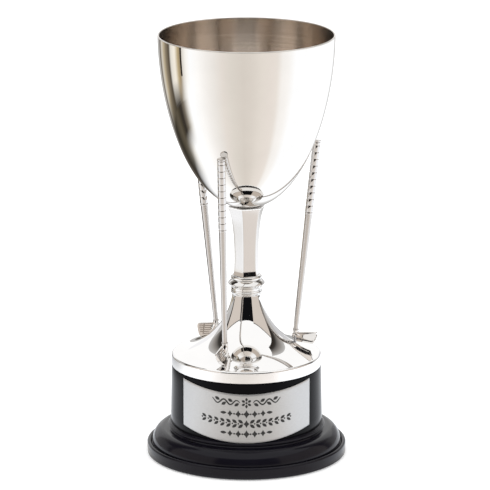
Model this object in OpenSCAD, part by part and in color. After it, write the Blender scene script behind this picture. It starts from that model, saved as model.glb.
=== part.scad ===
// Cup trophy: a polished bowl on a six-sided waisted stem, with a turned knop and a trumpet
// foot, ringed by three miniature golf clubs, on a round moulded plinth with a curved plate.
// Millimetres, +Z up. The origin is on the resting plane, on the cup's axis. The plate faces -Y.

/* [Bowl] */
// Outside diameter of the rim
rim_d = 96.5; // [94:0.5:99]
// Height of the rim above the resting plane
rim_z = 236; // [235:0.5:237]
// Outside depth of the bowl, rim to bottom
bowl_h = 96.2; // [96:0.1:96.3]
// How late the wall turns in: 2 is an ellipse
bowl_swell = 1.82; // [1.8:0.01:1.86]
// How round the bottom is: 0.5 is an ellipse
bowl_tuck = 0.477; // [0.47:0.001:0.48]
// Thickness of the spun wall
bowl_wall = 0.9; // [0.6:0.1:1.2]

/* [Stem] */
// Height of the stem's top face
stem_top_z = 140.4; // [140.2:0.1:140.6]
// Height of the stem's bottom face
stem_bottom_z = 101.7; // [101.2:0.1:102.2]
// Half the width across flats at the waist
stem_waist = 5.93; // [5.6:0.01:6.4]
// Height of the waist
stem_waist_z = 112; // [108:0.5:116]
// How far each flat swings out from the waist to the top
stem_flare = 3.5; // [2.5:0.1:4]
// Turn of the six sides about the axis, in degrees
stem_turn = -13; // [-30:1:30]

/* [Knop] */
// Diameter of the sharp ring
ring_d = 20.2; // [19:0.1:22]
// Height of the sharp ring's edge
ring_z = 96.9; // [96.6:0.1:97.2]
// Diameter of the bead under the stem
bead_d = 17; // [16.6:0.1:18]

/* [Foot] */
// Diameter of the foot at its skirt
foot_d = 82.5; // [82:0.1:82.8]
// Height of the joint between foot and knop
foot_top_z = 90.6; // [90.4:0.1:90.8]
// Height of the crease round the trumpet's edge
crease_z = 57.3; // [57:0.1:57.6]
// Radius of the trumpet's hollow curve
trumpet_r = 39.4; // [39:0.1:39.8]
// Thickness of the foot's sheet metal
foot_wall = 1.2; // [1:0.1:1.6]

/* [Plinth] */
// Diameter over the bottom band
plinth_d = 110.2; // [109:0.2:112]
// Height of the plinth's top, where the foot stands
plinth_top_z = 50.6; // [50.4:0.1:50.8]
// Widening of the drum's radius from its top to its bottom
drum_flare = 0.75; // [0:0.05:0.9]
// Radius of the nut's pocket underneath
pocket_r = 13; // [12:0.5:18]

/* [Plate] */
// Half the plate's width, seen from the front
plate_half_w = 34.5; // [28:0.5:36]
// Height of the plate's lower edge in the middle
plate_low_z = 17.5; // [17.5:0.1:20]
// Height of the plate's upper edge in the middle
plate_high_z = 45; // [40:0.5:45.4]
// Rise of the lower edge from the middle to the ends
plate_low_rise = 5.4; // [1:0.1:6]
// Rise of the upper edge from the middle to the ends
plate_high_rise = 4.1; // [1:0.1:4.5]
// Thickness of the plate
plate_t = 0.6; // [0.4:0.1:0.8]

/* [Clubs] */
// Distance of each club's foot end from the axis
club_foot_r = 27; // [26.8:0.1:27.4]
// Height of each club's foot end
club_foot_z = 65.6; // [65.6:0.1:66]
// Distance of each club's grip end from the axis
club_grip_r = 39.5; // [39.5:0.1:40]
// Height of each club's grip end
club_grip_z = 175.6; // [175:0.1:176]
// How far the grip end leads the foot end round the axis, in degrees
club_lead = 6; // [4:1:8]
// Radius of the grip sleeve
grip_radius = 2.2; // [2.1:0.05:2.2]
// Length of the grip sleeve
grip_len = 41; // [30:1:45]
// Loft of the club face, in degrees
loft = 28; // [22:1:32]

/* [Hidden] */
$fn = 96;

// The clubs were set by hand, so they stand a little off even thirds
club_azimuth = [-26, 96, -142];
// Turn of each head from pointing straight out from the axis, and fall of its toe
head_turn = [2, -6, 17];
toe_fall = [12, 0, 12];

rim_r = rim_d / 2;

// Fixings on the axis
rod_r = 3;
rod_clear = 0.3;
rod_top_z = 138.6;
rod_low_z = 8;
boss_r = 4.8;
boss_low_z = 130;
nut_corner_r = 5.77;
nut_t = 5;
washer_t = 1.2;
foot_washer_r = 6.2;
plinth_washer_r = 11;

// Foot: the neck's radius and height, the rounding of the edge, and the washer's seat inside
foot_r = foot_d / 2;
neck_r = 7.9;
neck_z = foot_top_z - 1;
edge_round = 1.3;
seat_z = foot_top_z - 2;

// Plinth, from the drum's lower end through the bead and the ovolo to the band
plinth_r = plinth_d / 2;
drum_low_z = 18.1;
bead_z = 16.45;
bead_r = 0.95;
ovolo_high_z = 14.7;
ovolo_low_z = 6;
ovolo_top_r = 45.6;
ovolo_w = 6.8;
band_round = 1.2;
plinth_low_z = 0.6;
pocket_z = 17;

pad_r = 52;
pad_t = 1.2;
pad_recess = 0.6;
adhesive_t = 0.25;

// Clubs
cap_t = 0.8;
cap_radius = 2.35;
core_r = 1.3;
shaft_high_r = 2;
shaft_low_r = 1.35;
ferrule_at = 3.4;
ferrule_t = 0.7;
ferrule_r = 1.75;
hosel_r = 1.9;
tenon_r = 0.8;
tenon_len = 3;
blade_t = 1.2;
flange_t = 2;
toe_round = 1.2;
solder_gap = 0.05;
stem_base_flare = 0.4;
stem_base_h = 3.6;
peg_r = 0.8;
peg_low_z = 59;
peg_high_z = club_foot_z - 0.2;

steps = 40;

// ---- Points on curves ----

// Points of a circle's arc, angles in degrees from +X
function arc(cx, cy, r, from, to, n) =
    [for (i = [0:n]) let (a = from + (to - from) * i / n) [cx + r * cos(a), cy + r * sin(a)]];

// Points of an ellipse's arc
function oval(cx, cy, rx, ry, from, to, n) =
    [for (i = [0:n]) let (a = from + (to - from) * i / n) [cx + rx * cos(a), cy + ry * sin(a)]];

// Wall of the bowl from the rim (u = 0) to the bottom (u = 1), for a given radius and depth.
// The square packs the points towards the bottom, where the wall bends most.
function bowl_wall_points(r, top, depth) =
    [for (i = [0:steps]) let (u = 1 - pow(1 - i / steps, 2))
        [r * pow(max(0, 1 - pow(u, bowl_swell)), bowl_tuck), top - depth * u]];

// Half the width across flats of the stem at height z
function stem_flat(z) = let (t = (z - stem_waist_z) / (stem_top_z - stem_waist_z))
    stem_waist + stem_flare * (0.68 * pow(t, 2) + 0.32 * pow(max(t, 0), 8))
    + stem_base_flare * pow(max(0, 1 - (z - stem_bottom_z) / stem_base_h), 2);

// Radius of the plinth's drum at height z
function drum_r(z) = foot_r + drum_flare * (plinth_top_z - z) / (plinth_top_z - drum_low_z);

// A point at distance r from the axis, azimuth a from -Y towards +X, height z
function around(r, a, z) = [r * sin(a), -r * cos(a), z];

function unit(v) = v / norm(v);

// ---- Outline of the foot ----

// The trumpet is one circle through the neck and the crease, centred outside the metal
neck = [neck_r, neck_z];
crease = [foot_r, crease_z];
fall = crease - neck;
trumpet_c = (neck + crease) / 2
    + unit([-fall[1], fall[0]]) * sqrt(pow(trumpet_r, 2) - pow(norm(fall) / 2, 2));
neck_angle = atan2(neck_z - trumpet_c[1], neck_r - trumpet_c[0]);

// Points from the neck down to the skirt, moved into the metal by inset.
// A small arc that touches the trumpet and the skirt rounds the edge between them.
function foot_outline(inset) =
    let (r = trumpet_r + inset,
         round_r = max(edge_round - inset, 0.1),
         x = foot_r - inset - round_r,
         z = trumpet_c[1] - sqrt(pow(r + round_r, 2) - pow(x - trumpet_c[0], 2)),
         meet = atan2(z - trumpet_c[1], x - trumpet_c[0]))
    concat(arc(trumpet_c[0], trumpet_c[1], r, neck_angle, meet, steps),
           arc(x, z, round_r, meet + 180, 0, 6));

// ---- Cup ----

module bowl() {
    outer = bowl_wall_points(rim_r, rim_z - bowl_wall / 2, bowl_h - bowl_wall / 2);
    inner = bowl_wall_points(rim_r - bowl_wall, rim_z - bowl_wall / 2, bowl_h - 1.8 * bowl_wall);
    lip = arc(rim_r - bowl_wall / 2, rim_z - bowl_wall / 2, bowl_wall / 2, 150, 30, 4);
    color("gainsboro")
    rotate_extrude()
    polygon(concat([for (i = [steps:-1:0]) inner[i]], lip, outer));
}

// The bowl without its hollow, for cutting seats
module bowl_solid() {
    outer = bowl_wall_points(rim_r, rim_z - bowl_wall / 2, bowl_h - bowl_wall / 2);
    rotate_extrude()
    polygon(concat([[0, rim_z]], outer));
}

module bowl_boss() {
    color("silver")
    difference() {
        translate([0, 0, boss_low_z]) cylinder(r = boss_r, h = stem_top_z + 1 - boss_low_z);
        bowl_solid();
        translate([0, 0, boss_low_z - 1]) cylinder(r = rod_r, h = rod_top_z - boss_low_z + 1);
    }
}

// One pair of the stem's flats: a slab with the waisted outline, endless sideways
module stem_slab() {
    rows = [for (i = [0:32]) stem_bottom_z + (stem_top_z - stem_bottom_z) * i / 32];
    right = [for (z = rows) [stem_flat(z), z]];
    left = [for (i = [len(rows) - 1:-1:0]) [-stem_flat(rows[i]), rows[i]]];
    rotate([90, 0, 0])
    linear_extrude(height = 40, center = true)
    polygon(concat(right, left));
}

module stem_column() {
    color("gainsboro")
    difference() {
        intersection() {
            rotate([0, 0, stem_turn]) stem_slab();
            rotate([0, 0, stem_turn + 60]) stem_slab();
            rotate([0, 0, stem_turn + 120]) stem_slab();
        }
        translate([0, 0, stem_bottom_z - 1])
        cylinder(r = rod_r + rod_clear, h = stem_top_z - stem_bottom_z + 2);
        translate([0, 0, boss_low_z - 0.2]) cylinder(r = boss_r + 0.1, h = 20);
        bowl_solid();
    }
}

module knop() {
    ring_r = ring_d / 2;
    top_r = bead_d / 2;
    color("gainsboro")
    difference() {
        rotate_extrude()
        polygon(concat(
            [[0, stem_bottom_z], [top_r - 1.4, stem_bottom_z]],
            arc(top_r - 1.4, stem_bottom_z - 1.4, 1.4, 80, -60, 10),
            [[top_r - 0.9, ring_z + 2.3]],
            arc(ring_r - 0.35, ring_z, 0.35, 50, -50, 6),
            [[8.25, ring_z - 3.1], [8.1, ring_z - 3.5], [8.45, ring_z - 3.8]],
            arc(7.7, foot_top_z + 1.4, 1, 50, -50, 6),
            [[neck_r, foot_top_z], [0, foot_top_z]]));
        translate([0, 0, foot_top_z - 1]) cylinder(r = rod_r + rod_clear, h = 20);
    }
}

module foot() {
    under = foot_outline(foot_wall);
    color("gainsboro")
    difference() {
        rotate_extrude()
        polygon(concat([[0, plinth_top_z], [0, foot_top_z], [neck_r - 0.2, foot_top_z]],
            foot_outline(0), [[foot_r, plinth_top_z]]));
        // Hollow, with a flat seat for the washer at its top
        rotate_extrude()
        polygon(concat(
            [[0, plinth_top_z - 1], [0, seat_z], [foot_washer_r + 0.3, seat_z]],
            [for (p = under) if (p[1] < seat_z - 0.3) p],
            [[foot_r - foot_wall, plinth_top_z - 1]]));
        translate([0, 0, seat_z - 1]) cylinder(r = rod_r + rod_clear, h = 8);
        for (a = club_azimuth)
        translate(around(club_foot_r, a, peg_low_z - 4)) cylinder(r = peg_r + 0.05, h = 12);
    }
}

// ---- Fixings on the axis ----

module tie_rod() {
    color("darkgray")
    translate([0, 0, rod_low_z]) cylinder(r = rod_r, h = rod_top_z - rod_low_z);
}

module washer(outer_r, z) {
    color("darkgray")
    translate([0, 0, z])
    difference() {
        cylinder(r = outer_r, h = washer_t);
        translate([0, 0, -1]) cylinder(r = rod_r + rod_clear, h = washer_t + 2);
    }
}

// Hexagonal nut, tight on the rod
module nut(z) {
    color("darkgray")
    translate([0, 0, z])
    difference() {
        cylinder(r = nut_corner_r, h = nut_t, $fn = 6);
        translate([0, 0, -1]) cylinder(r = rod_r, h = nut_t + 2);
    }
}

// ---- Plinth ----

module plinth() {
    color("#202024")
    difference() {
        rotate_extrude()
        polygon(concat(
            [[0, plinth_top_z], [foot_r - 0.4, plinth_top_z], [foot_r, plinth_top_z - 0.4]],
            [[drum_r(drum_low_z), drum_low_z], [drum_r(drum_low_z) - 0.35, drum_low_z - 0.4]],
            arc(drum_r(drum_low_z) + 0.3, bead_z, bead_r, 100, -60, 12),
            [[drum_r(drum_low_z) + 1, ovolo_high_z]],
            oval(ovolo_top_r, ovolo_low_z, ovolo_w, ovolo_high_z - ovolo_low_z, 90, 0, 20),
            [[plinth_r - 1 - band_round, ovolo_low_z + 0.5]],
            arc(plinth_r - band_round, ovolo_low_z, band_round, 110, 0, 8),
            [[plinth_r, plinth_low_z], [0, plinth_low_z]]));
        translate([0, 0, -1]) cylinder(r = rod_r + rod_clear, h = plinth_top_z + 2);
        translate([0, 0, -1]) cylinder(r = pocket_r, h = pocket_z + 1);
        translate([0, 0, -1]) cylinder(r = pad_r + 0.2, h = 1 + plinth_low_z + pad_recess);
    }
}

module base_pad() {
    color("darkgreen")
    cylinder(r = pad_r, h = pad_t);
}

// Front outline of the plate, shrunk by inset. Both long edges are arcs that rise to the ends.
module plate_outline(inset) {
    half_w = plate_half_w - inset;
    low_r = (pow(plate_half_w, 2) + pow(plate_low_rise, 2)) / (2 * plate_low_rise);
    high_r = (pow(plate_half_w, 2) + pow(plate_high_rise, 2)) / (2 * plate_high_rise);
    difference() {
        intersection() {
            translate([-half_w, plate_low_z]) square([2 * half_w, plate_high_z + 10 - plate_low_z]);
            translate([0, plate_low_z + low_r]) circle(r = low_r - inset);
        }
        translate([0, plate_high_z + high_r]) circle(r = high_r + inset);
    }
}

// Skin on the drum, from gap to gap + t off its face, cut to the plate's outline
module drum_skin(gap, t, inset) {
    high = [drum_r(plinth_top_z) + gap, plinth_top_z];
    low = [drum_r(0) + gap, 0];
    intersection() {
        rotate_extrude()
        polygon([high, high + [t, 0], low + [t, 0], low]);
        rotate([90, 0, 0])
        linear_extrude(height = 60)
        plate_outline(inset);
    }
}

module name_plate() {
    color("lightgray")
    drum_skin(adhesive_t, plate_t, 0);
}

module plate_adhesive() {
    color("white")
    drum_skin(0, adhesive_t, 1);
}

// ---- Clubs ----

club_len = norm(around(club_grip_r, club_lead, club_grip_z) - around(club_foot_r, 0, club_foot_z));
grip_at = club_len - cap_t - grip_len;

// Places its children with +Z along club i's shaft and the origin at the shaft's foot end
module along_club(i) {
    foot_end = around(club_foot_r, club_azimuth[i], club_foot_z);
    grip_end = around(club_grip_r, club_azimuth[i] + club_lead, club_grip_z);
    way = grip_end - foot_end;
    lean = acos(way[2] / norm(way));
    translate(foot_end)
    rotate([0, lean, atan2(way[1], way[0])])
    children();
}

module club_cap(i) {
    color("gainsboro")
    along_club(i)
    translate([0, 0, club_len - cap_t]) cylinder(r = cap_radius, h = cap_t);
}

module club_grip(i) {
    color("gainsboro")
    along_club(i)
    translate([0, 0, grip_at])
    difference() {
        cylinder(r = grip_radius, h = grip_len);
        translate([0, 0, -1]) cylinder(r = core_r, h = grip_len + 2);
    }
}

module club_shaft(i) {
    low = ferrule_at + ferrule_t;
    color("gainsboro")
    along_club(i) {
        translate([0, 0, low]) cylinder(r1 = shaft_low_r, r2 = shaft_high_r, h = grip_at - low);
        translate([0, 0, low - tenon_len]) cylinder(r = tenon_r, h = tenon_len);
        translate([0, 0, grip_at]) cylinder(r = core_r, h = grip_len);
    }
}

module club_ferrule(i) {
    color("silver")
    along_club(i)
    translate([0, 0, ferrule_at])
    difference() {
        cylinder(r = ferrule_r, h = ferrule_t);
        translate([0, 0, -1]) cylinder(r = tenon_r, h = ferrule_t + 2);
    }
}

// Outline of the blade, heel at the left, toe at the right, sole below
module blade_outline() {
    polygon(concat([[0, 2.6], [-1.6, 1.9], [-1.6, -1.6], [-0.9, -2.7], [0.3, -3.2], [9.6, -5.5]],
        [[10.3, -5], [11.4, -3], [12.3, -0.4]],
        arc(12.4 - toe_round, 2.75 - toe_round, toe_round, 0, 90, 6)));
}

// Outline of the heavier flange along the sole, behind the face
module flange_outline() {
    polygon([[-1.2, -1.9], [-0.9, -2.7], [0.3, -3.2], [9.6, -5.5], [10.3, -5], [9.4, -3.7], [0.3, -1.5]]);
}

module club_head(i) {
    color("gainsboro")
    difference() {
        union() {
            along_club(i) {
                cylinder(r1 = hosel_r, r2 = ferrule_r - 0.1, h = ferrule_at);
                sphere(r = hosel_r);
            }
            // The blade points outwards along local +X. Its face looks towards local +Y and up.
            translate(around(club_foot_r, club_azimuth[i], club_foot_z))
            rotate([0, 0, club_azimuth[i] + head_turn[i] - 90])
            rotate([90 + loft, 0, 0])
            rotate([0, 0, -toe_fall[i]])
            translate([0, 0, -blade_t / 2]) {
                linear_extrude(height = blade_t) blade_outline();
                linear_extrude(height = flange_t) flange_outline();
            }
        }
        // The underside is dressed to the foot's slope
        rotate_extrude()
        polygon(concat([[0, plinth_top_z], [0, foot_top_z]], foot_outline(-solder_gap),
            [[foot_r, plinth_top_z]]));
        along_club(i)
        translate([0, 0, ferrule_at + ferrule_t - tenon_len]) cylinder(r = tenon_r, h = tenon_len);
        translate(around(club_foot_r, club_azimuth[i], peg_low_z))
        cylinder(r = peg_r, h = peg_high_z - peg_low_z);
    }
}

module club_pegs() {
    color("darkgray")
    for (a = club_azimuth)
    translate(around(club_foot_r, a, peg_low_z)) cylinder(r = peg_r, h = peg_high_z - peg_low_z);
}

// ---- Drawing ----

bowl();
bowl_boss();
stem_column();
knop();
foot();
tie_rod();
washer(foot_washer_r, seat_z - washer_t);  // foot_washer
nut(seat_z - washer_t - nut_t);  // foot_nut
plinth();
washer(plinth_washer_r, pocket_z - washer_t);  // plinth_washer
nut(pocket_z - washer_t - nut_t);  // plinth_nut
base_pad();
name_plate();
plate_adhesive();
club_cap(0);  // club_a_cap
club_grip(0);  // club_a_grip
club_shaft(0);  // club_a_shaft
club_ferrule(0);  // club_a_ferrule
club_head(0);  // club_a_head
club_cap(1);  // club_b_cap
club_grip(1);  // club_b_grip
club_shaft(1);  // club_b_shaft
club_ferrule(1);  // club_b_ferrule
club_head(1);  // club_b_head
club_cap(2);  // club_c_cap
club_grip(2);  // club_c_grip
club_shaft(2);  // club_c_shaft
club_ferrule(2);  // club_c_ferrule
club_head(2);  // club_c_head
club_pegs();
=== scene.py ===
"""Looks of the golf cup trophy: mirror-polished cup, foot and clubs on a black gloss plinth.

Every visible piece is a finely meshed copy of its CAD node's shape, with the small detail that
the CAD leaves out: rounded edges, ringed grips, grooved club faces and the plate's engraving.
Profiles are (radius, height) points in millimetres; meshes are in metres.
"""

import math

import bmesh
import bpy
from mathutils import Matrix, Vector


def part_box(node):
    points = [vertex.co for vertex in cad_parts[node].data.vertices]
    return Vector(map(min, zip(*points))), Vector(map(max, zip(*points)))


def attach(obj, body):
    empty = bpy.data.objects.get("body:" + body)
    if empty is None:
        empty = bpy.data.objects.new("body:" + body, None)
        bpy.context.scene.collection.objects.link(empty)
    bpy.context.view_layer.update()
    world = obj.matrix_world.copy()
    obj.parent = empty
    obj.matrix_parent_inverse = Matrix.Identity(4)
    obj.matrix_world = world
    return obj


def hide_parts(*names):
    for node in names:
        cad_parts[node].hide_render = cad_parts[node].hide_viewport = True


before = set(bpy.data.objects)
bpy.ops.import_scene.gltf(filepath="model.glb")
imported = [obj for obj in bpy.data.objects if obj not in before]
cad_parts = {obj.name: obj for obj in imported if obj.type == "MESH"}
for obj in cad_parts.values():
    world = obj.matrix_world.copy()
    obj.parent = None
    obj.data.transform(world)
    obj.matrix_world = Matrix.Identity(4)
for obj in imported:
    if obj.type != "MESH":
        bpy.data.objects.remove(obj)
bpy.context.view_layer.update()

MM = 0.001


def node_mm(name):
    """Lowest and highest corner of a CAD node, in millimetres."""
    lo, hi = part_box(name)
    return lo / MM, hi / MM


# ---------------------------------------------------------------- sizes, in millimetres

RIM_Z = node_mm("bowl")[1].z
RIM_R = 48.25
BOWL_H = 96.2
BOWL_WALL, BOWL_FLOOR = 0.9, 1.17
BOWL_SWELL, BOWL_TUCK = 1.82, 0.477  # powers of the wall's curve

STEM_LOW, STEM_TOP = (corner.z for corner in node_mm("stem_column"))
STEM_WAIST, STEM_WAIST_Z = 5.93, 112.0
STEM_FLARE = 3.5
STEM_BASE_FLARE, STEM_BASE_H = 0.4, 3.6
STEM_CORNER_R = 0.4
STEM_TURN = -13.0  # degrees

FOOT_LOW, FOOT_TOP = (corner.z for corner in node_mm("foot"))
FOOT_R, FOOT_EDGE_R = 41.25, 1.3
NECK_R = 7.9
CREASE_Z = 57.3
TRUMPET_R = 39.4

PLINTH_R = node_mm("plinth")[1].x
DRUM_LOW = 18.1
DRUM_FLARE = 0.75

PLATE_HALF_W = 34.5
PLATE_LOW, PLATE_HIGH = 17.5, 45.0
PLATE_LOW_RISE, PLATE_HIGH_RISE = 5.4, 4.1
PLATE_T, ADHESIVE_T = 0.6, 0.25

# Each club's azimuth, the turn of its head from straight out and the fall of its toe, in degrees
CLUBS = {"a": (-26.0, 2.0, 12.0), "b": (96.0, -6.0, 0.0), "c": (-142.0, 17.0, 12.0)}
CLUB_FOOT_R, CLUB_FOOT_Z = 27.0, 65.6
CLUB_GRIP_R, CLUB_GRIP_Z = 39.5, 175.6
CLUB_LEAD = 6.0
CAP_T, CAP_R = 0.8, 2.35
GRIP_R, GRIP_LEN = 2.2, 41.0
GRIP_NECK_H, GRIP_NECK_DEPTH = 0.35, 0.4
RING_PITCH, RING_COUNT, RING_FIRST = 3.75, 11, 2.1
RING_HALF_W, RING_DEPTH = 0.5, 0.14
FERRULE_AT, FERRULE_T, FERRULE_R = 3.4, 0.7, 1.75
SHAFT_LOW_R, SHAFT_HIGH_R = 1.35, 2.0
HOSEL_R, BLADE_T, FLANGE_T = 1.9, 1.2, 2.0
LOFT = 28.0

# The blade in its own plane: s runs from the hosel's axis to the toe, t up along the face, and
# the depth grows from the face to the back. The lines are (s, t) points of its outline.
SOLE_LINE = [(-1.7, 0.2), (-1.6, -1.4), (-0.9, -2.7), (0.3, -3.2), (9.6, -5.5), (10.3, -5.0),
             (11.4, -3.0), (12.3, -0.4), (12.45, 1.3)]
TOP_LINE = [(-1.7, 0.4), (-1.6, 1.7), (0.0, 2.6), (11.2, 2.75), (11.8, 2.6), (12.25, 2.2),
            (12.45, 1.4)]
FACE = -BLADE_T / 2
GROOVE_W, GROOVE_DEPTH = 0.4, 0.2
GROOVE_TOP, GROOVE_PITCH = 1.7, 1.1
# Start and end of each groove row, from the top down. The last row ends at the stop line.
GROOVE_ROWS = [(1.5, 11.0), (1.5, 11.0), (1.5, 11.0), (1.5, 10.2), (4.1, 10.2), (4.1, None)]
STOP_AT, STOP_GAP, STOP_TOP, STOP_LOW = 8.0, 0.45, 2.2, -4.2

# The engraving's black fill, from inside the plate to just proud of it, out of the drum's face
INK_OUT = ADHESIVE_T + PLATE_T + 0.02
INK_IN = ADHESIVE_T + PLATE_T - 0.1


# ---------------------------------------------------------------- mesh helpers

def arc(cx, cz, rx, start, end, count, rz=None):
    """Points of a circle's or an ellipse's arc, angles in degrees."""
    rz = rx if rz is None else rz
    turns = [math.radians(start + (end - start) * i / count) for i in range(count + 1)]
    return [(cx + rx * math.cos(t), cz + rz * math.sin(t)) for t in turns]


def link(name, bm, materials, node=None, sharp=32.0):
    """Turns a bmesh in millimetres into a smooth-shaded piece that rides on the root."""
    bmesh.ops.remove_doubles(bm, verts=bm.verts, dist=1e-4)
    bmesh.ops.recalc_face_normals(bm, faces=bm.faces)
    mesh = bpy.data.meshes.new(name)
    bm.to_mesh(mesh)
    bm.free()
    mesh.transform(Matrix.Scale(MM, 4))
    mesh.shade_smooth()
    mesh.set_sharp_from_angle(angle=math.radians(sharp))
    piece = bpy.data.objects.new(name, mesh)
    bpy.context.scene.collection.objects.link(piece)
    for material in materials:
        mesh.materials.append(material)
    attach(piece, "root")
    if node:
        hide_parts(node)
    return piece


def skin(bm, rings, loop=True, poles=(None, None)):
    """Faces between rings of vertices. A pole closes an end with one vertex."""
    rows = [[bm.verts.new(p) for p in ring] for ring in rings]
    count = len(rows[0])
    for low, high in zip(rows, rows[1:]):
        for i in range(count if loop else count - 1):
            j = (i + 1) % count
            bm.faces.new((low[i], low[j], high[j], high[i]))
    for pole, row in ((poles[0], rows[0]), (poles[1], rows[-1])):
        if pole is not None:
            tip = bm.verts.new(pole)
            for i in range(count):
                bm.faces.new((row[i], row[(i + 1) % count], tip))
    return rows


def close_ends(bm, rows):
    """Closes a skin with one face at each end."""
    for row in (rows[0], rows[-1]):
        bm.faces.new(row)


def turned(bm, profile, sides):
    """Turns a profile round Z. Its ends close on the axis, where their radius is zero."""
    tiny = 1e-6
    poles = [Vector((0, 0, z)) if r < tiny else None for r, z in (profile[0], profile[-1])]
    angles = [2 * math.pi * i / sides for i in range(sides)]
    rings = [[(r * math.cos(a), r * math.sin(a), z) for a in angles]
             for r, z in profile if r >= tiny]
    skin(bm, rings, poles=poles)


def lathe(name, profile, materials, node, sides):
    """A piece turned round the cup's axis."""
    bm = bmesh.new()
    turned(bm, profile, sides)
    return link(name, bm, materials, node)


def paint(piece, index, test):
    """Gives the faces that pass the test another of the piece's materials."""
    for face in piece.data.polygons:
        if test(face):
            face.material_index = index


# ---------------------------------------------------------------- materials

def new_material(name, **values):
    """A Principled material with uniform values set on the shader's own sockets."""
    mat = bpy.data.materials.new(name)
    mat.use_nodes = True
    shader = mat.node_tree.nodes["Principled BSDF"]
    for key, value in values.items():
        shader.inputs[key.replace("_", " ")].default_value = value
    return mat


def add(mat, kind, inputs=None, **settings):
    """Adds a node. Inputs may be values or other nodes' outputs."""
    node = mat.node_tree.nodes.new(kind)
    for key, value in settings.items():
        setattr(node, key, value)
    for key, value in (inputs or {}).items():
        if isinstance(value, bpy.types.NodeSocket):
            mat.node_tree.links.new(value, node.inputs[key])
        else:
            node.inputs[key].default_value = value
    return node


def calculate(mat, operation, *values):
    """Output of a maths node."""
    return add(mat, "ShaderNodeMath", dict(enumerate(values)), operation=operation).outputs[0]


def wire(mat, output, socket):
    """Links an output to one of the shader's own sockets."""
    shader = mat.node_tree.nodes["Principled BSDF"]
    mat.node_tree.links.new(output, shader.inputs[socket])


def ramp(mat, fac, low, high, at=(0.0, 1.0)):
    """Colour ramp between two colours."""
    node = add(mat, "ShaderNodeValToRGB", {"Fac": fac})
    for element, colour, place in zip(node.color_ramp.elements, (low, high), at):
        element.position = place
        element.color = (*colour, 1)
    return node.outputs["Color"]


def spread(mat, fac, low, high):
    """Maps a 0 to 1 factor to a range."""
    node = add(mat, "ShaderNodeMapRange", {"Value": fac, "To Min": low, "To Max": high})
    return node.outputs["Result"]


def noise(mat, scale, detail=3.0, stretch=(1, 1, 1)):
    """Noise in the object's own metres, stretched by per-axis scales."""
    place = add(mat, "ShaderNodeTexCoord").outputs["Object"]
    mapped = add(mat, "ShaderNodeMapping", {"Vector": place, "Scale": stretch})
    node = add(mat, "ShaderNodeTexNoise",
               {"Vector": mapped.outputs["Vector"], "Scale": scale, "Detail": detail})
    return node.outputs["Fac"]


def polar(mat):
    """Turning coordinates: angle, radius and height about the cup's axis."""
    place = add(mat, "ShaderNodeTexCoord").outputs["Object"]
    x, y, z = add(mat, "ShaderNodeSeparateXYZ", {"Vector": place}).outputs
    angle = calculate(mat, "ARCTAN2", y, x)
    squares = [calculate(mat, "MULTIPLY", part, part) for part in (x, y)]
    radius = calculate(mat, "SQRT", calculate(mat, "ADD", *squares))
    return angle, radius, z


def bump(mat, height, strength, distance):
    """Raises fine detail. The distance is in metres."""
    node = add(mat, "ShaderNodeBump",
               {"Height": height, "Strength": strength, "Distance": distance})
    wire(mat, node.outputs["Normal"], "Normal")


def polished(name, colour, rough=(0.02, 0.06), haze=60.0):
    """Mirror-polished silver plate: faint cloudy tarnish, haze in the gloss, polishing marks."""
    mat = new_material(name, Metallic=1.0)
    cloud = noise(mat, haze, 4.0)
    tarnished = tuple(0.97 * c for c in colour)
    wire(mat, ramp(mat, cloud, tarnished, colour, (0.35, 0.65)), "Base Color")
    marks = noise(mat, 900.0, 2.0, (1, 1, 0.15))
    wire(mat, spread(mat, calculate(mat, "MULTIPLY", cloud, marks), *rough), "Roughness")
    bump(mat, marks, 0.15, 0.000004)
    return mat


def satin_inside(name):
    """Spun inside of the bowl: fine turned lines that stretch each reflection up and down."""
    mat = new_material(name, Metallic=1.0, Anisotropic=0.85, Anisotropic_Rotation=0.25)
    angle, radius, z = polar(mat)
    along = calculate(mat, "MULTIPLY", angle, 0.5)
    across = calculate(mat, "MULTIPLY", radius, 1900.0)
    up = calculate(mat, "MULTIPLY", z, 3800.0)
    where = add(mat, "ShaderNodeCombineXYZ", {"X": along, "Y": across, "Z": up}).outputs[0]
    lines = add(mat, "ShaderNodeTexNoise",
                {"Vector": where, "Scale": 1.0, "Detail": 5.0, "Roughness": 0.62}).outputs["Fac"]
    # The dark and light of the turned lines are their own grain; the brown tone of both colours is a
    # painted reflection of the warm surroundings seen inside the bowl.
    dark, light = (0.66, 0.60, 0.54), (0.85, 0.785, 0.72)
    wire(mat, ramp(mat, lines, dark, light, (0.33, 0.67)), "Base Color")
    wire(mat, spread(mat, lines, 0.14, 0.22), "Roughness")
    turning = add(mat, "ShaderNodeTangent", direction_type="RADIAL", axis="Z")
    wire(mat, turning.outputs[0], "Tangent")
    bump(mat, lines, 0.25, 0.00001)
    return mat


def black_gloss(name, colour, level):
    """Moulded black gloss: faint orange peel, a trace of dust in the gloss."""
    mat = new_material(name, IOR=1.5, Specular_IOR_Level=level)
    deep = tuple(0.65 * c for c in colour)
    wire(mat, ramp(mat, noise(mat, 45.0, 4.0), deep, colour), "Base Color")
    wire(mat, spread(mat, noise(mat, 260.0), 0.12, 0.20), "Roughness")
    bump(mat, noise(mat, 420.0, 2.0), 0.12, 0.00002)
    return mat


def satin_plate(name):
    """Satin metal plate: fine even grain, the faintest brushing along it, soft clouding."""
    mat = new_material(name, Metallic=0.85)
    grain = noise(mat, 5200.0, 2.0, (0.12, 0.12, 1))
    speck = noise(mat, 7000.0, 2.0)
    mixed = calculate(mat, "MULTIPLY", grain, speck)
    dark, light = (0.52, 0.52, 0.52), (0.61, 0.61, 0.61)
    wire(mat, ramp(mat, mixed, dark, light, (0.1, 0.42)), "Base Color")
    wire(mat, spread(mat, grain, 0.36, 0.46), "Roughness")
    bump(mat, speck, 0.2, 0.000004)
    return mat


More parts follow.
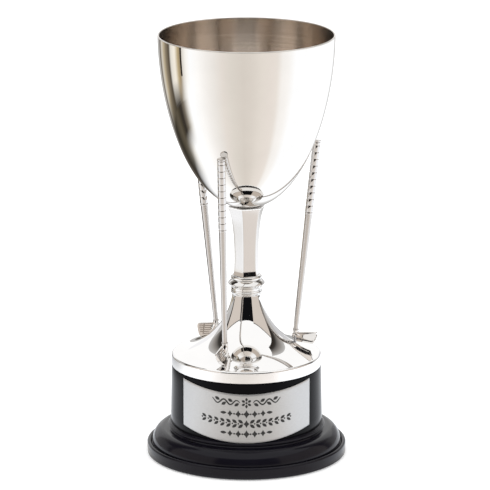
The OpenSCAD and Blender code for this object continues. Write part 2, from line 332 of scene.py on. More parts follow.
def plain(name, colour, rough, scale, shift=0.2, metallic=0.0, depth=0.00002, strength=0.3):
    """Everyday material with mottled colour, uneven gloss and a fine bump."""
    mat = new_material(name, Metallic=metallic)
    speck = noise(mat, scale, 4.0)
    dark = tuple(c * (1 - shift) for c in colour)
    wire(mat, ramp(mat, speck, dark, colour, (0.3, 0.7)), "Base Color")
    wire(mat, spread(mat, speck, rough - 0.08, rough + 0.08), "Roughness")
    bump(mat, noise(mat, scale * 4, 2.0), strength, depth)
    return mat


cup_metal = polished("cup_silver", (0.80, 0.775, 0.74))
cup_inside = satin_inside("cup_inside")
rim_metal = polished("rim_silver", (0.80, 0.77, 0.73), rough=(0.40, 0.50))
stem_metal = polished("stem_silver", (0.71, 0.685, 0.66), rough=(0.08, 0.16))
# Painted light: the stem's top faces get a near-white matte colour instead of silver, so they stay
# light where the bowl shades them.
stem_end_light_paint = plain("stem_end_painted_light", (0.95, 0.945, 0.94), 0.6, 900.0, shift=0.06)
knop_metal = polished("knop_silver", (0.80, 0.785, 0.765))
foot_metal = polished("foot_silver", (0.90, 0.89, 0.88))
skirt_metal = polished("skirt_silver", (0.99, 0.985, 0.98), rough=(0.26, 0.36))
head_metal = polished("head_silver", (0.86, 0.84, 0.82), rough=(0.06, 0.14), haze=400.0)
# Painted shade: the cut grooves get a darker, browner copy of the head's silver, for the shade and
# dark reflections in them.
groove_painted_shade = polished("groove_shaded_silver", (0.40, 0.35, 0.31), rough=(0.3, 0.4), haze=400.0)
# Painted shade: the shafts and ferrules get a darker copy of the clubs' silver, dimmed to the shaded
# look of the shafts.
shaft_painted_shade = polished("shaft_shaded_silver", (0.60, 0.57, 0.545), rough=(0.12, 0.22), haze=400.0)
# Painted shade: the grips and caps get a dimmer copy of the heads' silver, for the shade on them.
grip_painted_shade = polished("grip_shaded_silver", (0.70, 0.68, 0.665), rough=(0.05, 0.12), haze=400.0)
# The plinth black's faint violet is a painted tint of its reflections.
plinth_black = black_gloss("plinth_black", (0.0075, 0.0066, 0.011), 0.2)
# Painted shade: the drum gets a darker, less glossy copy of the plinth's black, for the dark it shows
# in front.
drum_painted_shade = black_gloss("drum_painted_shade", (0.002, 0.0018, 0.0028), 0.07)
plate_metal = satin_plate("plate_satin")
ink = plain("engraving_black", (0.02, 0.02, 0.02), 0.45, 1500.0)
felt = plain("felt_green", (0.03, 0.10, 0.06), 0.92, 900.0, shift=0.35, depth=0.0003, strength=0.8)
foam = plain("adhesive_white", (0.80, 0.79, 0.75), 0.8, 1200.0)
steel = plain("plain_steel", (0.55, 0.55, 0.56), 0.35, 700.0, shift=0.15, metallic=1.0)
brass = plain("plain_brass", (0.72, 0.56, 0.28), 0.3, 500.0, shift=0.12, metallic=1.0)


# ---------------------------------------------------------------- cup

def bowl_curve(radius, top, depth, count=150):
    """Wall points from the rim to the bottom, packed towards the bottom."""
    points = []
    for i in range(count + 1):
        u = 1 - (1 - i / count) ** 2.2
        points.append((radius * max(0.0, 1 - u ** BOWL_SWELL) ** BOWL_TUCK, top - depth * u))
    return points


def make_bowl():
    """Thin bowl with a round lip: polished outside, satin inside, softer on the lip."""
    half = BOWL_WALL / 2
    lip_z, lip_r = RIM_Z - half, RIM_R - half
    outer = bowl_curve(RIM_R, lip_z, BOWL_H - half)
    inner = bowl_curve(RIM_R - BOWL_WALL, lip_z, BOWL_H - half - BOWL_FLOOR)
    lip = arc(lip_r, lip_z, half, 0, 180, 12)
    profile = outer[:0:-1] + [(RIM_R, lip_z - 0.06)] + lip[:-1] + inner
    metals = [cup_metal, cup_inside, rim_metal]
    piece = lathe("bowl_skin", profile, metals, "bowl", 256)

    def is_inside(face):
        level, across = face.normal.z, face.normal.xy.dot(face.center.xy)
        return face.center.xy.length < lip_r * MM and (level > 0.3 or across < 0)

    paint(piece, 1, is_inside)
    paint(piece, 2, lambda face: face.center.z > (lip_z - 0.05) * MM)
    return piece


def stem_flat(z):
    """Half the width across flats of the stem at height z."""
    t = (z - STEM_WAIST_Z) / (STEM_TOP - STEM_WAIST_Z)
    base = max(0.0, 1 - (z - STEM_LOW) / STEM_BASE_H)
    flare = STEM_FLARE * (0.68 * t ** 2 + 0.32 * max(t, 0) ** 8)
    return STEM_WAIST + flare + STEM_BASE_FLARE * base ** 2


def hexagon(half_width, round_r, corner=5, along=4):
    """Points of a hexagon with rounded corners, half_width across half its flats."""
    points = []
    reach = half_width * math.tan(math.radians(30))
    cut = round_r * math.tan(math.radians(30))
    straight = 0.98 * (reach - cut)
    for side in range(6):
        a = math.radians(60 * side)
        out = Vector((math.cos(a), math.sin(a)))
        way = Vector((-math.sin(a), math.cos(a)))
        for i in range(along):
            points.append(out * half_width + way * straight * (-1 + 2 * (i + 0.5) / along))
        centre = out * (half_width - round_r) + way * (reach - cut)
        for i in range(corner + 1):
            b = a + math.radians(60 * i / corner)
            points.append(centre + Vector((math.cos(b), math.sin(b))) * round_r)
    return points


def make_stem():
    """Waisted hexagon with a rounded top edge, dished on top under the bowl."""
    count = 70
    edge = 0.25
    turn = Matrix.Rotation(math.radians(STEM_TURN), 2)
    rings = []
    for i in range(count + 1):
        z = STEM_LOW + (STEM_TOP - STEM_LOW) * i / count
        inset = 0.0
        if z > STEM_TOP - edge:
            inset = edge * (1 - math.sqrt(max(0.0, 1 - ((z - STEM_TOP + edge) / edge) ** 2)))
        rings.append([(turn @ p).to_3d() + Vector((0, 0, z))
                      for p in hexagon(stem_flat(z) - inset, STEM_CORNER_R)])
    flat = [(p.x * 0.6, p.y * 0.6, STEM_TOP) for p in rings[-1]]
    dish = [(p.x * 0.5, p.y * 0.5, STEM_TOP - 0.4) for p in rings[-1]]
    bm = bmesh.new()
    skin(bm, rings + [flat, dish], poles=((0, 0, STEM_LOW), (0, 0, STEM_TOP - 0.5)))
    metals = [stem_metal, stem_end_light_paint]
    piece = link("stem_skin", bm, metals, "stem_column", sharp=24)
    # The top faces take the painted light colour.
    paint(piece, 1, lambda face: face.center.z > (STEM_TOP - 0.3) * MM)
    return piece


def make_knop():
    """Turned collar: a bead, a sharp ring, a groove and a band."""
    profile = [(0, STEM_LOW), (6.6, STEM_LOW)]
    profile += arc(7.1, 100.35, 1.4, 80, -55, 14)
    profile += [(8.15, 99.35), (8.3, 99.15), (8.65, 99.0)]
    profile += arc(9.75, 96.9, 0.35, 32, -50, 8)
    profile += [(9.2, 95.9), (8.3, 94.75)]
    profile += arc(8.55, 93.6, 0.35, 120, 240, 6)
    profile += arc(7.9, 92.3, 0.8, 50, -60, 8)
    profile += [(7.95, 91.2), (7.8, FOOT_TOP), (0, FOOT_TOP)]
    return lathe("knop_skin", profile, [knop_metal], "knop", 160)


def foot_curve():
    """Outer outline of the foot: the trumpet's arc and the small arc that meets the skirt."""
    neck_z = FOOT_TOP - 1
    mid = Vector(((NECK_R + FOOT_R) / 2, (neck_z + CREASE_Z) / 2))
    fall = Vector((FOOT_R - NECK_R, CREASE_Z - neck_z))
    side = Vector((-fall.y, fall.x)).normalized()
    centre = mid + side * math.sqrt(TRUMPET_R ** 2 - (fall.length / 2) ** 2)
    start = math.degrees(math.atan2(neck_z - centre.y, NECK_R - centre.x))
    x = FOOT_R - FOOT_EDGE_R
    z = centre.y - math.sqrt((TRUMPET_R + FOOT_EDGE_R) ** 2 - (x - centre.x) ** 2)
    meet = math.degrees(math.atan2(z - centre.y, x - centre.x))
    trumpet = arc(centre.x, centre.y, TRUMPET_R, start, meet, 120)
    return trumpet + arc(x, z, FOOT_EDGE_R, meet + 180, 0, 14)[1:]


def make_foot():
    """Trumpet foot with its skirt, which has a softer polish."""
    profile = [(0, FOOT_TOP), (NECK_R - 0.4, FOOT_TOP)] + foot_curve()
    profile += [(FOOT_R, FOOT_LOW + 0.3), (FOOT_R - 0.3, FOOT_LOW), (0, FOOT_LOW)]
    piece = lathe("foot_skin", profile, [foot_metal, skirt_metal], "foot", 256)
    paint(piece, 1, lambda face: face.center.z < (CREASE_Z - 0.9) * MM)
    return piece


# ---------------------------------------------------------------- plinth and plate

def drum_r(z):
    """Radius of the drum at height z."""
    return FOOT_R + DRUM_FLARE * (FOOT_LOW - z) / (FOOT_LOW - DRUM_LOW)


def make_plinth():
    """Drum, small bead, large ovolo and bottom band, from the top down."""
    drum = drum_r(DRUM_LOW)
    profile = [(0, FOOT_LOW), (FOOT_R - 0.5, FOOT_LOW)]
    profile += arc(FOOT_R - 0.5, FOOT_LOW - 0.5, 0.5, 90, 0, 5)[1:]
    profile += [(drum_r(z), z) for z in (45, 38, 31, 24, DRUM_LOW + 0.3)]
    profile += [(drum - 0.15, DRUM_LOW - 0.1), (drum - 0.3, DRUM_LOW - 0.4)]
    profile += arc(drum + 0.3, 16.45, 0.95, 100, -60, 14)
    profile += [(drum + 0.7, 15.3), (drum + 1.0, 14.9), (drum + 1.6, 14.72)]
    profile += arc(45.6, 6.0, 6.8, 90, 4, 40, rz=8.7)
    profile += [(52.2, 6.2), (52.5, 6.15)]
    profile += arc(PLINTH_R - 1.2, 5.9, 1.2, 120, 0, 12)
    profile += [(PLINTH_R, 1.0), (PLINTH_R - 0.4, 0.6), (0, 0.6)]
    blacks = [plinth_black, drum_painted_shade]
    piece = lathe("plinth_skin", profile, blacks, "plinth", 256)
    # The drum's faces take the darker painted shade.
    paint(piece, 1, lambda face: face.center.z > DRUM_LOW * MM)
    return piece


def smile(base, rise, x):
    """Height of a plate edge that rises to its ends along a circle."""
    radius = (PLATE_HALF_W ** 2 + rise ** 2) / (2 * rise)
    return base + radius - math.sqrt(radius ** 2 - x ** 2)


def on_drum(x, z, out):
    """A point on the front of the drum, out millimetres off its face."""
    r = drum_r(z) + out
    return (x, -math.sqrt(r * r - x * x), z)


def make_plate():
    """Curved plate with rounded edges, on the front of the drum."""
    across, up = 150, 40
    edge = 0.22
    fronts, backs = [], []
    for j in range(up + 1):
        front, back = [], []
        for i in range(across + 1):
            x = -PLATE_HALF_W + 2 * PLATE_HALF_W * i / across
            low = smile(PLATE_LOW, PLATE_LOW_RISE, x)
            high = smile(PLATE_HIGH, PLATE_HIGH_RISE, x)
            z = low + (high - low) * j / up
            rim = min(PLATE_HALF_W - abs(x), z - low, high - z)
            drop = edge * (1 - math.sqrt(max(0.0, 1 - max(0.0, 1 - rim / edge) ** 2)))
            front.append(on_drum(x, z, ADHESIVE_T + PLATE_T - drop))
            back.append(on_drum(x, z, ADHESIVE_T))
        fronts.append(front)
        backs.append(back)
    bm = bmesh.new()
    skin(bm, fronts, loop=False)
    skin(bm, backs[::-1], loop=False)
    walls = [(fronts[0], backs[0]), (backs[-1], fronts[-1])]
    walls += [([row[end] for row in fronts], [row[end] for row in backs]) for end in (0, -1)]
    for wall_rings in walls:
        skin(bm, wall_rings, loop=False)
    return link("plate_skin", bm, [plate_metal], "name_plate", sharp=40)


# ---------------------------------------------------------------- clubs

def around(radius, azimuth, z):
    """A point round the cup's axis. Azimuth 0 is the plate's side, and it grows towards +X."""
    a = math.radians(azimuth)
    return Vector((radius * math.sin(a), -radius * math.cos(a), z))


def club_axis(azimuth):
    """Matrix that puts +Z up a club's shaft from its foot end, and the length to its butt."""
    low = around(CLUB_FOOT_R, azimuth, CLUB_FOOT_Z)
    high = around(CLUB_GRIP_R, azimuth + CLUB_LEAD, CLUB_GRIP_Z)
    z = (high - low).normalized()
    outward = around(1, azimuth, 0)
    x = (outward - z * outward.dot(z)).normalized()
    turn = Matrix((x, z.cross(x), z)).transposed().to_4x4()
    return Matrix.Translation(low) @ turn, (high - low).length


def on_club(part, letter, azimuth, profile, material):
    """A turned part round a club's shaft."""
    bm = bmesh.new()
    turned(bm, profile, 64)
    bmesh.ops.transform(bm, matrix=club_axis(azimuth)[0], verts=bm.verts)
    node = "club_%s_%s" % (letter, part)
    return link("%s_%s" % (part, letter), bm, [material], node)


def make_grip(letter, azimuth):
    """Sleeve with shallow ring grooves and a narrow neck under its cap."""
    top = club_axis(azimuth)[1] - CAP_T
    low = top - GRIP_LEN
    profile = [(0, low), (SHAFT_HIGH_R, low)] + arc(GRIP_R - 0.3, low + 0.3, 0.3, -60, 0, 4)
    for ring in reversed(range(RING_COUNT)):
        centre = top - RING_FIRST - RING_PITCH * ring
        for i in range(17):
            u = -1 + i / 8
            profile.append((GRIP_R - RING_DEPTH * (1 - u * u) ** 2, centre + RING_HALF_W * u))
    neck, neck_r = top - GRIP_NECK_H, GRIP_R - GRIP_NECK_DEPTH
    profile += arc(GRIP_R - 0.25, neck - 0.25, 0.25, 0, 90, 5)
    profile += [(neck_r, neck), (neck_r, top), (0, top)]
    return on_club("grip", letter, azimuth, profile, grip_painted_shade)


def make_cap(letter, azimuth):
    """Butt cap with rounded edges."""
    top = club_axis(azimuth)[1]
    low = top - CAP_T
    edge = 0.2
    profile = [(0, low), (CAP_R - edge, low)]
    profile += arc(CAP_R - edge, low + edge, edge, -90, 0, 4)[1:]
    profile += arc(CAP_R - edge, top - edge, edge, 0, 80, 5) + [(1.2, top - 0.02), (0, top)]
    return on_club("cap", letter, azimuth, profile, grip_painted_shade)


def make_shaft(letter, azimuth):
    """Tapered shaft between the ferrule and the grip."""
    low = FERRULE_AT + FERRULE_T
    top = club_axis(azimuth)[1] - CAP_T - GRIP_LEN
    count = 24
    profile = [(0, low)]
    for i in range(count + 1):
        share = i / count
        radius = SHAFT_LOW_R + (SHAFT_HIGH_R - SHAFT_LOW_R) * share
        profile.append((radius, low + (top - low) * share))
    profile.append((0, top))
    return on_club("shaft", letter, azimuth, profile, shaft_painted_shade)


def make_ferrule(letter, azimuth):
    """Ring between the hosel and the shaft."""
    top = FERRULE_AT + FERRULE_T
    profile = [(0, FERRULE_AT)] + arc(FERRULE_R - 0.15, FERRULE_AT + 0.15, 0.15, -90, 0, 4)
    profile += arc(FERRULE_R - 0.3, top - 0.3, 0.3, 0, 90, 5) + [(0, top)]
    return on_club("ferrule", letter, azimuth, profile, shaft_painted_shade)


def line_at(points, s):
    """Height of an outline at s, its corners eased over 0.3 mm each way."""
    total = 0.0
    steps = (-0.3, -0.15, 0, 0.15, 0.3)
    for step in steps:
        at = min(max(s + step, points[0][0]), points[-1][0])
        for (s0, t0), (s1, t1) in zip(points, points[1:]):
            if s0 <= at <= s1:
                total += t0 + (t1 - t0) * (at - s0) / (s1 - s0)
                break
    return total / len(steps)


def blade_section(s):
    """Outline across the blade at s as (t, depth) points: face, top edge, back and sole."""
    heel, toe = SOLE_LINE[0][0], SOLE_LINE[-1][0]
    low, high = line_at(SOLE_LINE, s), line_at(TOP_LINE, s)
    tall = max(high - low, 0.3)
    near_end = min(1.0, max(0.0, toe - s) / 0.8, max(0.0, s - heel) / 0.8)
    swell = 0.55 + 0.45 * math.sqrt(near_end)
    back = FACE + BLADE_T * swell
    ledge = FACE + FLANGE_T * swell if s > 0 else back + 0.02
    corner = min(0.22, tall * 0.2)
    ease = 0.3 * corner
    points = [(low + corner + (tall - 2 * corner) * i / 10, FACE) for i in range(11)]
    points += [(high - ease, FACE + ease), (high, FACE + corner)]
    points += [(high, back - corner), (high - ease, back - ease), (high - corner, back)]
    shelf = low + min(1.8, tall * 0.4)
    points += [(shelf + (high - shelf) * k, back) for k in (0.7, 0.45, 0.2, 0.08)]
    points += [(shelf + 0.05, back + 0.1 * (ledge - back))]
    points += [(shelf, ledge - 0.15), (shelf - 0.12, ledge)]
    points += [(low + 0.5, ledge), (low + 0.15, ledge - 0.2), (low, ledge - 0.6)]
    points += [(low, FACE + corner), (low + ease, FACE + ease)]
    return points


def groove(bm, s0, t0, s1, t1):
    """A closed V-shaped bar that cuts one groove into the face, from (s0, t0) to (s1, t1)."""
    way = Vector((s1 - s0, t1 - t0, 0)).normalized()
    side = Vector((-way.y, way.x, 0)) * (GROOVE_W / 2)
    outline = [(-1, FACE - 0.3), (1, FACE - 0.3), (0.9, FACE), (0, FACE + GROOVE_DEPTH),
               (-0.9, FACE)]
    rings = [[Vector((s, t, depth)) + side * share for share, depth in outline]
             for s, t in ((s0, t0), (s1, t1))]
    close_ends(bm, skin(bm, rings))


def make_grooves():
    """All the cutting bars of one face: rows up to a stop line, the line, short rows beyond it."""
    bm = bmesh.new()
    for i, (start, end) in enumerate(GROOVE_ROWS):
        t = GROOVE_TOP - GROOVE_PITCH * i
        groove(bm, start, t, STOP_AT - STOP_GAP, t)
        if end:
            groove(bm, STOP_AT + STOP_GAP, t, end, t)
    groove(bm, STOP_AT, STOP_TOP, STOP_AT, STOP_LOW)
    return bm


def hosel_rings(axis):
    """Rings of the hosel, which bends from the shaft's axis into the blade as it flattens."""
    start, bend, end = axis * FERRULE_AT, Vector((0.1, -0.5, 0)), Vector((4.2, -0.9, 0))
    top_r = FERRULE_R - 0.1
    count = 20
    rings = []
    for i in range(count + 1):
        u = i / count
        at = start * (1 - u) ** 2 + bend * 2 * u * (1 - u) + end * u ** 2
        way = ((bend - start) * (1 - u) + (end - bend) * u).normalized()
        grown = min(1.0, u * 3)
        flat = min(1.0, max(0.0, (u - 0.35) / 0.65)) ** 1.3
        deep = (top_r + (HOSEL_R - FERRULE_R) * grown) * (1 - flat) + 0.4 * flat
        wide = top_r + 0.25 * grown
        side = way.cross(Vector((0, 0, 1))).normalized()
        up = side.cross(way).normalized()
        rings.append([at + side * x + up * y for x, y in arc(0, 0, wide, 0, 351, 39, rz=deep)])
    return rings


def boolean(piece, other, operation):
    """Replaces a piece's mesh with its boolean with another object, which is used up."""
    step = piece.modifiers.new("step", "BOOLEAN")
    step.operation = operation
    step.solver = "EXACT"
    step.material_mode = "TRANSFER"
    step.object = other
    bpy.context.view_layer.update()
    graph = bpy.context.evaluated_depsgraph_get()
    result = bpy.data.meshes.new_from_object(piece.evaluated_get(graph))
    piece.modifiers.clear()
    piece.data = result
    bpy.data.objects.remove(other)


def head_place(azimuth, turn, fall):
    """Matrix from the blade's own plane to the foot of a club."""
    return (Matrix.Translation(around(CLUB_FOOT_R, azimuth, CLUB_FOOT_Z))
            @ Matrix.Rotation(math.radians(azimuth + turn - 90), 4, "Z")
            @ Matrix.Rotation(math.radians(90 + LOFT), 4, "X")
            @ Matrix.Rotation(math.radians(-fall), 4, "Z"))


def make_blade():
    """The plain blade, with its stations packed towards the heel and the toe."""
    heel, toe = SOLE_LINE[0][0] + 0.02, SOLE_LINE[-1][0] - 0.02
    count = 48
    rings = []
    for i in range(count + 1):
        s = heel + (toe - heel) * (0.5 - 0.5 * math.cos(math.pi * i / count))
        rings.append([(s, t, depth) for t, depth in blade_section(s)])
    bm = bmesh.new()
    close_ends(bm, skin(bm, rings))
    return bm


def make_hosel(axis):
    """The bent hosel, which starts along the shaft's axis."""
    bm = bmesh.new()
    close_ends(bm, skin(bm, hosel_rings(axis)))
    return bm


def make_head(letter, azimuth, turn, fall):
    """Iron head: the blade joined to its hosel, with the grooves cut into its face."""
    place = head_place(azimuth, turn, fall)
    shaft_way = club_axis(azimuth)[0].to_3x3().col[2]
    axis = (place.inverted().to_3x3() @ shaft_way).normalized()
    blade, hosel, cutter = make_blade(), make_hosel(axis), make_grooves()
    for bm in (blade, hosel, cutter):
        bmesh.ops.transform(bm, matrix=place, verts=bm.verts)
    hosel_part = link("hosel_part", hosel, [head_metal])
    # The grooves' faces carry the darker painted shade.
    cutter_part = link("groove_part", cutter, [groove_painted_shade])
    sharp = 28
    node = "club_%s_head" % letter
    piece = link("head_" + letter, blade, [head_metal], node, sharp)
    boolean(piece, hosel_part, "UNION")
    boolean(piece, cutter_part, "DIFFERENCE")
    piece.data.shade_smooth()
    piece.data.set_sharp_from_angle(angle=math.radians(sharp))
    return piece


# ---------------------------------------------------------------- engraving

def level_z(level, x):
    """Height on the plate of a level from 0, its lower edge, to 1, its upper edge."""
    low = smile(PLATE_LOW, PLATE_LOW_RISE, x)
    return low + (smile(PLATE_HIGH, PLATE_HIGH_RISE, x) - low) * level


def blot(bm, x, level, outline, rise=0.0):
    """A small closed fill of black in the plate, with its outline round a point of a row."""
    z = level_z(level, x) + rise
    tops = [on_drum(x + dx, z + dz, INK_OUT) for dx, dz in outline]
    backs = [on_drum(x + dx, z + dz, INK_IN) for dx, dz in outline]
    skin(bm, [tops, backs], poles=(on_drum(x, z, INK_OUT), on_drum(x, z, INK_IN)))


def stroke(bm, level, points, width):
    """A closed line of black along (x, rise) points of a row, thinner at its ends."""
    rings = []
    last = len(points) - 1
    for i, (x, rise) in enumerate(points):
        before, after = points[max(0, i - 1)], points[min(last, i + 1)]
        way = (Vector(after) - Vector(before)).normalized()
        half = width / 2 * (0.35 + 0.65 * math.sin(math.pi * i / last) ** 0.5)
        dx, dz = -way.y * half, way.x * half
        z = level_z(level, x) + rise
        corners = [(1, INK_OUT), (-1, INK_OUT), (-1, INK_IN), (1, INK_IN)]
        rings.append([on_drum(x + side * dx, z + side * dz, out) for side, out in corners])
    close_ends(bm, skin(bm, rings))


def leaf(length, width, tilt):
    """Outline of a pointed leaf about its middle, tilted in degrees."""
    c, s = math.cos(math.radians(tilt)), math.sin(math.radians(tilt))
    points = []
    for side in (1, -1):
        for i in range(8):
            u = i / 8 if side == 1 else 1 - i / 8
            x, z = (u - 0.5) * length, side * width / 2 * math.sin(math.pi * u) ** 0.8
            points.append((x * c - z * s, x * s + z * c))
    return points


def disc(radius):
    """Outline of a round dot."""
    return arc(0, 0, radius, 0, 345, 23)


def lozenge(width, height):
    """Outline of a lozenge with slightly hollow sides."""
    points = []
    for k in range(4):
        a, b = math.radians(90 * k), math.radians(90 * k + 45)
        points.append((width / 2 * math.cos(a), height / 2 * math.sin(a)))
        points.append((0.282 * width * math.cos(b), 0.282 * height * math.sin(b)))
    return points


def chain_row(bm, level, half_width, pitch=4.5):
    """Lozenges with dots between them, smaller towards the ends."""
    count = int(half_width // pitch)
    for i in range(-count, count + 1):
        size = 1.0 - 0.25 * abs(i) / (count + 0.5)
        blot(bm, i * pitch, level, lozenge(3.7 * size, 4.6 * size))
        if i < count:
            blot(bm, (i + 0.5) * pitch, level, disc(0.5))
    for side in (-1, 1):
        blot(bm, side * (count + 0.8) * pitch, level, leaf(3.4, 1.6, 0))


def vine_row(bm, level, half_width, wave=7.0, swing=1.3):
    """A waved stem with a leaf in each bay, on both sides of a rosette."""
    for side in (-1, 1):
        start = 3.6
        span = half_width - start
        points = []
        for i in range(81):
            x = start + span * i / 80
            points.append((side * x, swing * math.sin(2 * math.pi * (x - start) / wave)))
        stroke(bm, level, points, 0.85)
        bay = 0
        while start + wave * (bay + 0.5) / 2 < half_width:
            x = start + wave * (bay + 0.5) / 2
            up = -1 if bay % 2 == 0 else 1
            blot(bm, side * x, level, leaf(3.0, 1.7, side * up * 32), up * 1.1)
            bay += 1
    blot(bm, 0, level, disc(0.62))
    for k in range(6):
        a = 60 * k + 30
        c, s = math.cos(math.radians(a)), math.sin(math.radians(a))
        blot(bm, 1.9 * c, level, leaf(2.1, 1.4, a), 1.9 * s)


def laurel_row(bm, level, half_width, pitch=3.3):
    """Pairs of leaves that point outwards from a lozenge, with a berry between the pairs."""
    blot(bm, 0, level, lozenge(3.4, 4.4))
    count = int((half_width - 1.8) / pitch)
    for side in (-1, 1):
        for i in range(count):
            x = side * (3.2 + pitch * i)
            size = 1.0 - 0.2 * i / count
            for up in (-1, 1):
                blot(bm, x, level, leaf(3.4 * size, 1.75 * size, side * up * 38), up * 1.3 * size)
            blot(bm, x + side * 1.25 * size, level, disc(0.45))


def make_engraving():
    """Four rows of generic ornament: a vine, a chain, a laurel row and a second chain."""
    bm = bmesh.new()
    vine_row(bm, 0.83, 18.6)
    chain_row(bm, 0.60, 10.2)
    laurel_row(bm, 0.40, 25.6)
    chain_row(bm, 0.19, 10.2)
    return link("plate_engraving", bm, [ink], sharp=30)


# ---------------------------------------------------------------- build

make_bowl()
make_stem()
make_knop()
make_foot()
make_plinth()
make_plate()
make_engraving()
for letter, (azimuth, turn, fall) in CLUBS.items():
    make_grip(letter, azimuth)
    make_cap(letter, azimuth)
    make_shaft(letter, azimuth)
    make_ferrule(letter, azimuth)
    make_head(letter, azimuth, turn, fall)

# The CAD nodes that are kept as they are, hidden or nearly so
KEPT_NODES = {"bowl_boss": brass, "tie_rod": steel, "foot_washer": steel, "foot_nut": steel,
              "plinth_washer": steel, "plinth_nut": steel, "base_pad": felt,
              "plate_adhesive": foam, "club_pegs": steel}
for name, material in KEPT_NODES.items():
    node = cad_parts[name]
    node.data.materials.clear()
    node.data.materials.append(material)


# ---------------------------------------------------------------- studio

# Card light and distances in metres. Azimuth 0 is the camera's side and grows towards +X.
WHITE, BEIGE, MIST = (1.28, 1.32, 1.38), (0.70, 0.63, 0.57), (0.56, 0.55, 0.54)
SOFT, DEEP = (0.30, 0.28, 0.26), (0.05, 0.046, 0.042)
DARK, SHADE, LINE = (0.006, 0.006, 0.007), (0.05, 0.042, 0.034), (0.03, 0.025, 0.02)
WALL_AT = 1.8
CORNER_LOW, CORNER_HIGH, BACK_HIGH = 0.84, 2.95, 0.59
TABLE_INNER = 0.058
CAMERA_AT, CAMERA_DOWN, CAMERA_LENS = (-0.0008, -2.0415, 0.6527), 14.674, 282.4


def glow(name, stops):
    """Light of a studio card. Its colour runs round the cup, from (azimuth, colour) stops."""
    mat = bpy.data.materials.new(name)
    mat.use_nodes = True
    mat.node_tree.nodes.clear()
    light = add(mat, "ShaderNodeEmission")
    add(mat, "ShaderNodeOutputMaterial", {"Surface": light.outputs[0]})
    if len(stops) == 1:
        light.inputs["Color"].default_value = (*stops[0][1], 1)
        return mat
    place = add(mat, "ShaderNodeTexCoord").outputs["Object"]
    x, y, _ = add(mat, "ShaderNodeSeparateXYZ", {"Vector": place}).outputs
    angle = calculate(mat, "ARCTAN2", x, calculate(mat, "MULTIPLY", y, -1.0))
    share = calculate(mat, "MULTIPLY_ADD", angle, 1 / (2 * math.pi), 0.5)
    node = add(mat, "ShaderNodeValToRGB", {"Fac": share})
    elements = node.color_ramp.elements
    while len(elements) < len(stops):
        elements.new(0.5)
    for element, (azimuth, colour) in zip(elements, stops):
        element.position = azimuth / 360 + 0.5
        element.color = (*colour, 1)
    mat.node_tree.links.new(node.outputs["Color"], light.inputs["Color"])
    return mat


def stage_mesh(name, bm, material):
    """A studio object from a bmesh in metres."""
    mesh = bpy.data.meshes.new(name)
    bm.to_mesh(mesh)
    bm.free()
    mesh.materials.append(material)
    obj = bpy.data.objects.new(name, mesh)
    bpy.context.scene.collection.objects.link(obj)
    return obj


def card(name, rings, stops):
    """A studio card that only reflections see."""
    bm = bmesh.new()
    skin(bm, rings, loop=False)
    obj = stage_mesh(name, bm, glow(name, stops))
    obj.visible_camera = False
    obj.visible_diffuse = False
    obj.visible_shadow = False
    obj.visible_transmission = False


def ring_points(radius, start, end, z):
    """Points of a level arc round the cup, by azimuth, about three degrees apart."""
    count = max(2, int(abs(end - start) / 3))
    return [around(radius, start + (end - start) * i / count, z) for i in range(count + 1)]


def wall(name, start, end, low, high, *stops):
    """Upright card round the cup."""
    card(name, [ring_points(WALL_AT, start, end, z) for z in (low, high)], stops)


def table(name, start, end, inner, outer, z, *stops):
    """Level card round the cup."""
    card(name, [ring_points(radius, start, end, z) for radius in (inner, outer)], stops)


def fan(name, outer, inner, far, near, count):
    """Rings of table that change from the far stops to the near ones as they come closer."""
    for i in range(count):
        share = (i + 0.5) / count
        stops = []
        for (azimuth, old), (_, new) in zip(far, near):
            stops.append((azimuth, tuple(a + (b - a) * share for a, b in zip(old, new))))
        high, low = (outer + (inner - outer) * k / count for k in (i, i + 1))
        table("%s_%d" % (name, i), far[0][0], far[-1][0], low, high, 0.002, *stops)


def make_walls():
    """White tent with a dark front opening, beige sides and grey back corners."""
    wall("opening", -39, 41, 0.0, 1.49, (0, DARK))
    wall("side_left", -102, -39, 0.0, 1.32, (0, BEIGE))
    wall("side_left_edge", -102, -39, 1.32, 1.38, (0, LINE))
    wall("side_right", 41, 114, 0.0, 1.53, (0, BEIGE))
    wall("side_right_edge", 41, 114, 1.53, 1.60, (0, LINE))
    wall("corner_left_low", -142, -102, 0.0, CORNER_LOW, (-142, MIST), (-112, MIST), (-107, LINE))
    wall("corner_right_low", 114, 143, 0.0, CORNER_LOW,
         (118, LINE), (123, SOFT), (130, MIST), (143, MIST))
    wall("corner_left", -142, -102, CORNER_LOW, CORNER_HIGH,
         (-142, MIST), (-132, SOFT), (-122, DEEP), (-112, LINE))
    wall("corner_right", 114, 143, CORNER_LOW, CORNER_HIGH,
         (119, LINE), (124, DEEP), (134, SOFT), (143, MIST))
    wall("back_left", -165, -142, 0.0, BACK_HIGH, (0, (0.98, 0.98, 1.0)))
    wall("back_right", 143, 165, 0.0, BACK_HIGH, (0, (0.66, 0.66, 0.68)))


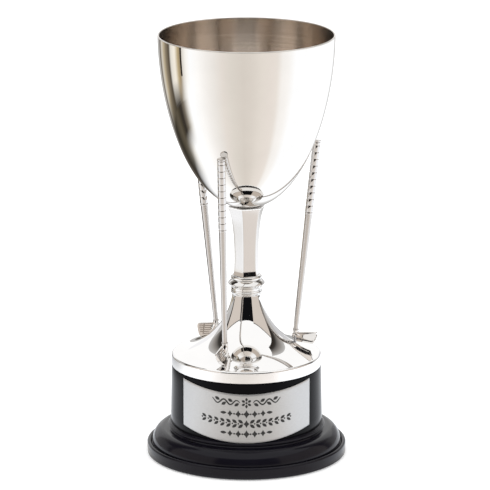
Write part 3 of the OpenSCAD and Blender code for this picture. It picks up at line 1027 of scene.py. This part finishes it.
def make_table():
    """Table: warm in front, white beside it, with dark shapes on the left that fade inwards."""
    room = [(-180, MIST), (-155, MIST), (-150, (0.12, 0.10, 0.08)), (-142, (0.80, 0.76, 0.68)),
            (-135, (0.62, 0.53, 0.38)), (-128, (0.30, 0.25, 0.18)), (-119, (0.10, 0.08, 0.06)),
            (-115, (0.95, 0.92, 0.86)), (-106, (1.15, 1.10, 1.0)), (-100, (0.66, 0.54, 0.34)),
            (-96, (0.40, 0.31, 0.18)), (-91, (0.9, 0.87, 0.83)), (-85, (1.2, 1.2, 1.18)), (-78, WHITE)]
    front = [(-66, (1.25, 1.26, 1.28)), (-54, (1.13, 1.12, 1.12)), (-42, (1.03, 1.01, 0.99)),
             (-31, (0.97, 0.92, 0.88)), (-20, (0.91, 0.87, 0.82)), (-4, (0.86, 0.81, 0.76)),
             (8, (0.89, 0.84, 0.79)), (20, (0.96, 0.91, 0.86)), (34, (1.0, 0.94, 0.90)),
             (40, (1.02, 0.97, 0.93)), (47, (1.15, 1.14, 1.14)), (56, (1.20, 1.20, 1.21)), (66, WHITE)]
    back = [(152, WHITE), (160, (0.8, 0.8, 0.8)), (170, (0.45, 0.45, 0.45)), (180, (0.45, 0.45, 0.45))]
    gloom = [(-180, (0.14, 0.13, 0.115)), (-155, (0.13, 0.115, 0.095)), (-149, (0.07, 0.06, 0.05)),
             (-139, (0.045, 0.04, 0.03)), (-129, (0.10, 0.085, 0.06)), (-121, (0.13, 0.11, 0.08)),
             (-115, (0.09, 0.075, 0.05)), (-110, SHADE), (-106, SHADE), (-99, (0.24, 0.21, 0.17)),
             (-94, (0.62, 0.60, 0.56)), (-90, (1.0, 1.0, 0.98)), (-85, WHITE), (-78, WHITE)]
    dusk = [(-180, (0.10, 0.09, 0.08)), (-155, (0.10, 0.09, 0.08)), (-149, (0.06, 0.055, 0.05)),
            (-139, SHADE), (-129, (0.10, 0.095, 0.085)), (-121, (0.22, 0.21, 0.18)),
            (-115, (0.5, 0.48, 0.45)), (-110, (0.82, 0.8, 0.77)), (-106, (1.05, 1.05, 1.02)),
            (-99, WHITE), (-94, WHITE), (-90, WHITE), (-85, WHITE), (-78, WHITE)]
    day = [(azimuth, WHITE) for azimuth, _ in dusk]
    table("table", -180, 180, TABLE_INNER, 4.0, 0.001, *room, *front, *back)
    table("table_line", -95.2, -92, 0.64, 4.0, 0.0015, (0, LINE))
    fan("table_far", 0.62, 0.46, room, gloom, 10)
    fan("table_mid", 0.46, 0.33, gloom, gloom, 1)
    fan("table_near", 0.33, 0.25, gloom, dusk, 10)
    fan("table_inner", 0.25, 0.15, dusk, day, 10)
    fan("table_core", 0.15, TABLE_INNER, day, day, 1)


def make_floor():
    """Plain pale floor that reaches past the view."""
    bm = bmesh.new()
    bmesh.ops.create_grid(bm, x_segments=8, y_segments=8, size=6.0)
    mat = new_material("floor_white", Roughness=0.9, Emission_Color=(1, 1, 1, 1),
                       Emission_Strength=0.35)
    wire(mat, ramp(mat, noise(mat, 30.0), (0.93, 0.93, 0.93), (0.95, 0.95, 0.95)), "Base Color")
    stage_mesh("floor", bm, mat)


def make_world():
    """Even white surround."""
    world = bpy.data.worlds.new("studio")
    bpy.context.scene.world = world
    world.use_nodes = True
    back = world.node_tree.nodes["Background"]
    back.inputs["Color"].default_value = (1, 1, 1, 1)
    back.inputs["Strength"].default_value = 1.1


def make_camera():
    """Long lens from the plate's side, looking a little down."""
    data = bpy.data.cameras.new("camera")
    data.sensor_width = 36.0
    data.lens = CAMERA_LENS
    data.clip_start, data.clip_end = 0.05, 30.0
    camera = bpy.data.objects.new("camera", data)
    bpy.context.scene.collection.objects.link(camera)
    camera.location = CAMERA_AT
    camera.rotation_euler = (math.radians(90 - CAMERA_DOWN), 0, 0)
    bpy.context.scene.camera = camera


make_walls()
make_table()
make_floor()
make_world()
make_camera()
bpy.context.scene.view_settings.view_transform = "Standard"
